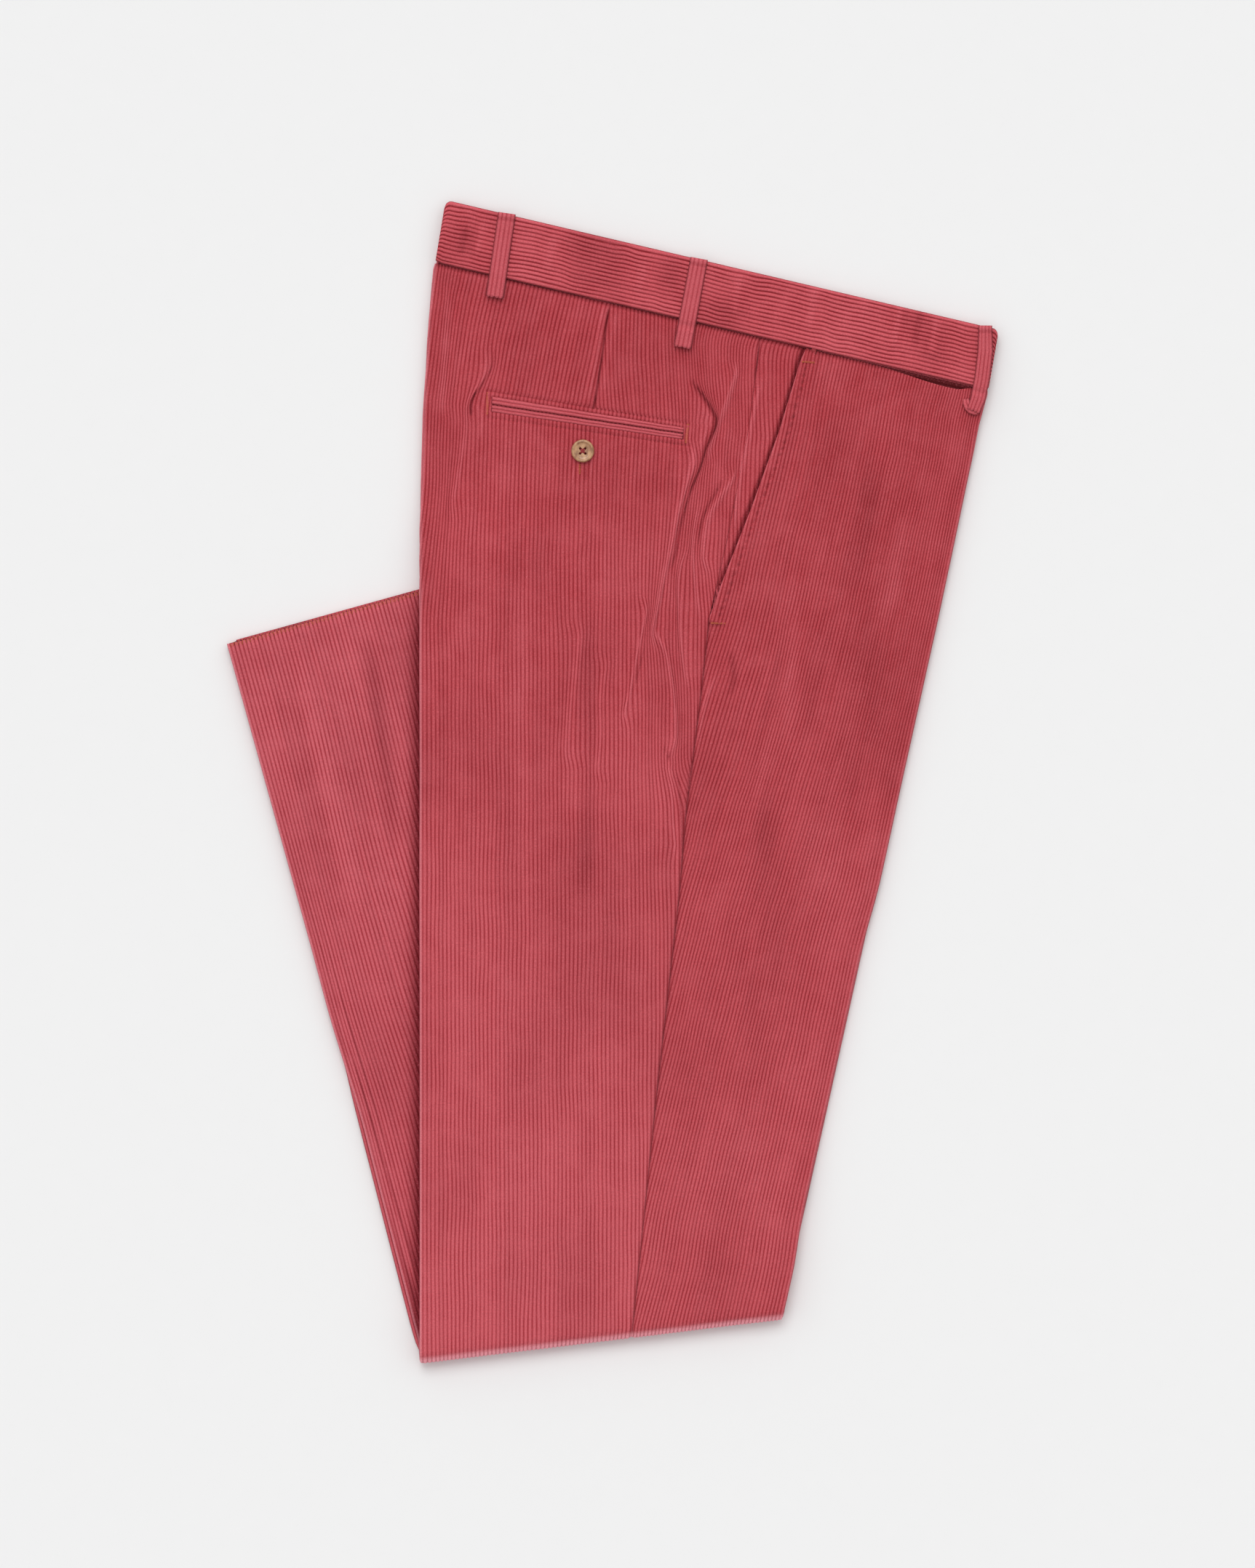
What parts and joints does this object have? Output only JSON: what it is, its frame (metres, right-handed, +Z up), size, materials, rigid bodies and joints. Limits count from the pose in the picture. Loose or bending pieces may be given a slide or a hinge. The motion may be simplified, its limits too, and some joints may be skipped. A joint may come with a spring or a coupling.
{
  "type": "corduroy trousers",
  "caption": "Wide-wale corduroy trousers folded flat in half, with the lower legs folded back behind the upper legs.",
  "frame": {"origin": "centre of the outline seen from above, at the floor", "axes": "+Y towards the waist, +X towards the front crease, +Z up from the surface that the trousers lie on"},
  "size_m": [0.5301, 0.7967, 0.0161],
  "materials": {
    "cloth": "wide-wale cotton corduroy, dusty raspberry red",
    "band_cloth": "wide-wale cotton corduroy, dusty raspberry red, wales along the band",
    "horn": "horn-look button, light brown, satin"
  },
  "bodies": {
    "root": {"hidden_layers": "cloth", "right_back_panel": "cloth", "right_front_panel": "cloth", "side_pocket_facing": "cloth", "left_back_panel_lower": "cloth", "waistband": "band_cloth", "belt_loop_back": "cloth", "belt_loop_side": "cloth", "belt_loop_front": "cloth", "back_pocket_upper_welt": "cloth", "back_pocket_lower_welt": "cloth", "back_pocket_button": "horn"}
  },
  "joints": []
}
